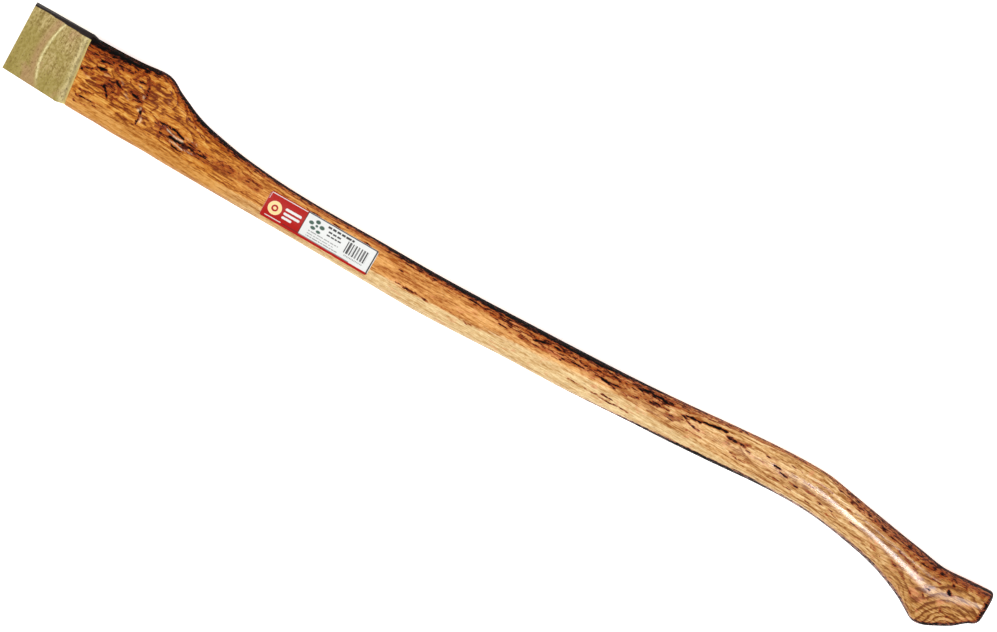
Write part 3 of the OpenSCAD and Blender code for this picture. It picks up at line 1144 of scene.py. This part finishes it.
# a cluster of leaf-like spots: centre, then half the width and height
leafSpots = ((43.4, 7.6, 2.3, 1.6), (48.6, 4.6, 2.2, 1.7), (53.8, 7.4, 2.4, 1.7),
             (46.6, 11.2, 2.4, 1.5), (52.4, 12.2, 2.1, 1.3), (49.0, 8.2, 1.3, 1.1))
# plain bars on the red field, then the thin lines of its border
whiteBars = ((18.5, 7.6, 34.0, 9.8), (18.5, 11.6, 34.0, 13.8), (18.5, 15.6, 28.0, 17.8))
whiteLines = ((1.0, 0.9, 36.3, 1.4), (1.0, 0.9, 1.5, 7.0), (4.0, 21.6, 20.0, 22.3))


def labelPrint(u, v):
    # how much red, yellow, black and green ink lies u along and v down the label, in millimetres
    total = labelShape["endX"] - labelShape["startX"]
    deep = labelShape["arc"]
    field = inRoundBox(u, v, (0, -5, 37.5, 40))
    stripe = inRoundBox(u, v, (37.0, deep - 2.7, 112, deep + 5))
    red = max(field, stripe)
    white = max(inRoundBox(u, v, box, 0.8) for box in whiteBars)
    white = max(white, max(inRoundBox(u, v, box) for box in whiteLines))
    radius = math.hypot(u - 9.6, v - 12.6)    # from the middle of the ring
    yellow = clamp(0.5 + (6.2 - radius) / 0.15) * (1 - clamp(0.5 + (3.2 - radius) / 0.15))
    yellow = max(yellow, clamp(0.5 + (1.4 - radius) / 0.15))
    red *= 1 - max(white, yellow)
    black = inRoundBox(u, v, (37.0, 0.1, total - 0.4, 1.1))
    black = max(black, inRoundBox(u, v, (total - 1.7, 0.1, total - 0.4, deep - 1.6)))
    black = max(black, inRoundBox(u, v, (36.9, 0.3, 37.6, deep - 3.0)))
    black = max(black, 0.8 * inRoundBox(u, v, (22.0, deep - 3.5, 88.0, deep - 2.8)))
    for n, (top, start, end, tall) in enumerate(dashRows):
        if start <= u <= end and top - 0.3 <= v <= top + tall + 0.3:
            # words of uneven length, as short dashes
            word = math.sin(u * (1.3 + 0.2 * n) + n * 1.7) + 0.6 * math.sin(u * 2.9 + n)
            weight = 1.0 if n < 3 else 0.7
            dash = clamp(0.5 + (word + 0.8) * 3) * inRoundBox(u, v, (start, top, end, top + tall))
            black = max(black, weight * dash)
    if 79.0 <= u <= 101.0 and 5.0 <= v <= 17.5:
        bar = math.sin(u * 2.3) + 0.7 * math.sin(u * 3.7 + 0.6) + 0.4 * math.sin(u * 7.1)
        black = max(black, clamp(0.5 + bar * 2.5) * inRoundBox(u, v, (79.5, 5.6, 100.5, 16.4)))
    if 79.0 <= u <= 101.0 and 17.4 <= v <= 19.4:
        dash = clamp(0.5 + math.sin(u * 4.4) * 3) * inRoundBox(u, v, (80.5, 17.7, 99.5, 19.0))
        black = max(black, 0.8 * dash)
    green = 0.0
    for cu, cv, ru, rv in leafSpots:
        green = max(green, clamp(0.5 + (1 - math.hypot((u - cu) / ru, (v - cv) / rv)) * 5))
    return red, yellow, black, green


def buildLabel(material):
    width = labelShape["endX"] - labelShape["startX"]
    middle = (labelShape["startX"] + labelShape["endX"]) / 2
    path = [p for p in sectionCurve(middle, 400) if labelShape["bottomY"] <= p[0] <= labelShape["topY"]]
    labelShape["arc"] = sum(math.dist(a, b) for a, b in zip(path, path[1:]))
    deep = labelShape["arc"]
    step = 0.32
    columnsAcross, rowsDown = round(width / step), round(deep / step)
    corner = labelShape["corner"]
    vertices, faces, inks = [], [], []
    grid = {}
    for sheet, lift in (("face", labelShape["gap"] + labelShape["thick"]), ("glue", labelShape["gap"])):
        for i in range(columnsAcross + 1):
            # rows are drawn in toward the ends so that the corners come out round
            u = width * i / columnsAcross
            x = labelShape["startX"] + u
            d = min(u, width - u)
            cut = corner - math.sqrt(max(0.0, corner ** 2 - (corner - d) ** 2)) if d < corner else 0.0
            for j in range(rowsDown + 1):
                v = lerp(cut, deep - cut, j / rowsDown)
                y, z, (ny, nz) = sidePoint(round(x, 3), v)
                curl = 0.0
                if sheet == "face":
                    curl = 0.05 * noise.noise(Vector((x / 9, v / 5, 0)))
                vertices.append((x, y + ny * (lift + curl), z + nz * (lift + curl)))
                grid[sheet, i, j] = len(vertices) - 1
                inks.append(labelPrint(u, v) if sheet == "face" else (0.0, 0.0, 0.0, 0.0))
    for i in range(columnsAcross):
        for j in range(rowsDown):
            for sheet, way in (("face", 1), ("glue", -1)):
                quad = [grid[sheet, i + p, j + q] for p, q in ((0, 0), (0, 1), (1, 1), (1, 0))]
                faces.append(tuple(quad[::way]))
    rim = [(i, 0) for i in range(columnsAcross)] + [(columnsAcross, j) for j in range(rowsDown)]
    rim += [(i, rowsDown) for i in range(columnsAcross, 0, -1)] + [(0, j) for j in range(rowsDown, 0, -1)]
    for here, after in zip(rim, rim[1:] + rim[:1]):
        top, low = [[grid[(sheet, *spot)] for spot in (here, after)] for sheet in ("face", "glue")]
        faces.append((top[0], top[1], low[1], low[0]))
    piece = addPiece("label-sheet", vertices, faces, material, "handle", "label")
    for n, name in enumerate(("red", "yellow", "black", "green")):
        paint(piece, name, [ink[n] for ink in inks])
    smoothBy(piece, 40)
    print("label: %d points, %d faces" % (len(vertices), len(faces)))


buildLabel(labelMaterial())


view = {
    "slant": 30.1,      # degrees the handle rises to the left
    "roll": 17.0,       # degrees the handle is rolled so that its back edge shows
    "aim": (0.4210, -0.0019, 0.0),
    "distance": 10.0,   # far off, so that both ends are seen at nearly the same angle
    "focal": 416.7,
    "sensor": 36.0,
}


def placeCamera():
    slant, roll = math.radians(view["slant"]), math.radians(view["roll"])
    lengthwise = Vector((1, 0, 0))
    across = Vector((0, math.cos(roll), -math.sin(roll)))
    toward = Vector((0, math.sin(roll), math.cos(roll)))
    right = math.cos(slant) * lengthwise + math.sin(slant) * across
    up = -math.sin(slant) * lengthwise + math.cos(slant) * across
    data = bpy.data.cameras.new("view-camera")
    data.lens = view["focal"]
    data.sensor_width = view["sensor"]
    data.clip_end = 4 * view["distance"]
    camera = bpy.data.objects.new("view-camera", data)
    scene.collection.objects.link(camera)
    camera.location = Vector(view["aim"]) + toward * view["distance"]
    camera.rotation_euler = Matrix((right, up, toward)).transposed().to_euler()
    scene.camera = camera


placeCamera()

floor = {"half": 6.0, "level": -0.0172, "glow": 0.7, "tones": ((0.93, 0.93, 0.93), (0.95, 0.95, 0.95))}


def placeFloor():
    material = newMaterial("pale-floor")
    finishWith({
        "Base Color": mixColour(speckle((400, 400, 400), 2.0), *floor["tones"]),
        "Roughness": 0.9,
        "Specular IOR Level": 0.1,
        "Emission Color": (1.0, 1.0, 1.0, 1.0),
        "Emission Strength": floor["glow"],
    })
    far, level = floor["half"], floor["level"]
    corners = [(-far, -far, level), (far, -far, level), (far, far, level), (-far, far, level)]
    mesh = bpy.data.meshes.new("floor")
    mesh.from_pydata(corners, [], [(0, 1, 2, 3)])
    mesh.materials.append(material)
    piece = bpy.data.objects.new("floor", mesh)
    scene.collection.objects.link(piece)


placeFloor()

# name, place, the point it faces, width and height, watts
lights = [
    ("head-side", (-1.5, -0.2, 2.2), (0.2, 0.0, 0.0), (1.3, 2.6), 39.0),
    ("knob-side", (2.4, -0.2, 2.2), (0.7, 0.0, 0.0), (1.3, 2.6), 23.5),
    ("grip-glow", (0.98, 0.06, 1.9), (0.75, 0.0, 0.0), (0.64, 0.26), 16.0),
    ("high-back", (1.25, 1.85, 2.3), (0.8, 0.0, 0.0), (1.0, 0.25), 10.0),
]
airLight = 0.32

for name, place, aim, size, power in lights:
    data = bpy.data.lights.new(name, "AREA")
    data.shape = "RECTANGLE"
    data.size, data.size_y = size
    data.energy = power
    light = bpy.data.objects.new(name, data)
    scene.collection.objects.link(light)
    light.location = place
    light.rotation_euler = (Vector(place) - Vector(aim)).to_track_quat("Z", "Y").to_euler()

world = bpy.data.worlds.new("studio-air")
world.use_nodes = True
air = world.node_tree.nodes["Background"]
air.inputs["Color"].default_value = (1.0, 1.0, 1.0, 1.0)
air.inputs["Strength"].default_value = airLight
scene.world = world
scene.view_settings.view_transform = "Standard"
print("camera, floor and lights placed")
